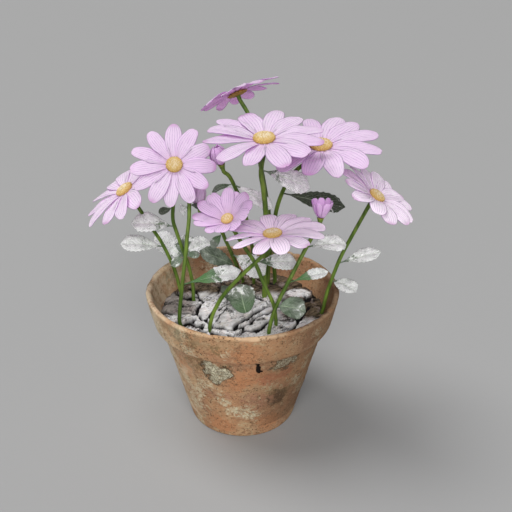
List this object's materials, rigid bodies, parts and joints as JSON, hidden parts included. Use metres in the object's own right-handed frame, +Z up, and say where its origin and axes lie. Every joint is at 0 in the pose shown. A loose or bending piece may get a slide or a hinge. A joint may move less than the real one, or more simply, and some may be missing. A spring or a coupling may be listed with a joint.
{
  "type": "potted osteospermum",
  "caption": "Flowering daisy plant in a round tapered clay pot with a deep collar rim, drainage hole, soil and bark mulch; blooms, buds and toothed leaves on thin stems.",
  "frame": {"origin": "centre of the underside of the pot, on the surface it stands on", "axes": "+Z is up along the axis of the pot; -Y points to the side seen in the picture; +X is to the right in that view"},
  "size_m": [0.2243, 0.14, 0.2495],
  "materials": {
    "terracotta": "matte",
    "soil": "matte",
    "bark": "matte",
    "stem": "satin",
    "petal": "satin",
    "bud": "satin",
    "disc": "matte",
    "leaf": "satin"
  },
  "bodies": {
    "root": {"pot": "terracotta", "potting_soil": "soil", "bark_mulch": "bark", "flower_1_disc": "disc", "flower_1_petals": "petal", "flower_1_stem": "stem", "flower_2_disc": "disc", "flower_2_petals": "petal", "flower_2_stem": "stem", "flower_3_disc": "disc", "flower_3_petals": "petal", "flower_3_stem": "stem", "flower_4_disc": "disc", "flower_4_petals": "petal", "flower_4_stem": "stem", "flower_5_disc": "disc", "flower_5_petals": "petal", "flower_5_stem": "stem", "flower_6_disc": "disc", "flower_6_petals": "petal", "flower_6_stem": "stem", "flower_7_disc": "disc", "flower_7_petals": "petal", "flower_7_stem": "stem", "flower_8_disc": "disc", "flower_8_petals": "petal", "flower_8_stem": "stem", "bud_1_petals": "bud", "bud_1_stem": "stem", "bud_2_petals": "bud", "bud_2_stem": "stem", "bud_3_petals": "bud", "bud_3_stem": "stem", "shoot_stem": "stem", "leaf_01": "leaf", "leaf_02": "leaf", "leaf_03": "leaf", "leaf_04": "leaf", "leaf_05": "leaf", "leaf_06": "leaf", "leaf_07": "leaf", "leaf_08": "leaf", "leaf_09": "leaf", "leaf_10": "leaf", "leaf_11": "leaf", "leaf_12": "leaf", "leaf_13": "leaf", "leaf_14": "leaf", "leaf_15": "leaf", "leaf_16": "leaf", "leaf_17": "leaf", "leaf_18": "leaf", "leaf_19": "leaf", "leaf_20": "leaf", "leaf_21": "leaf", "leaf_22": "leaf", "leaf_23": "leaf", "leaf_24": "leaf", "leaf_25": "leaf", "leaf_26": "leaf"}
  },
  "joints": []
}
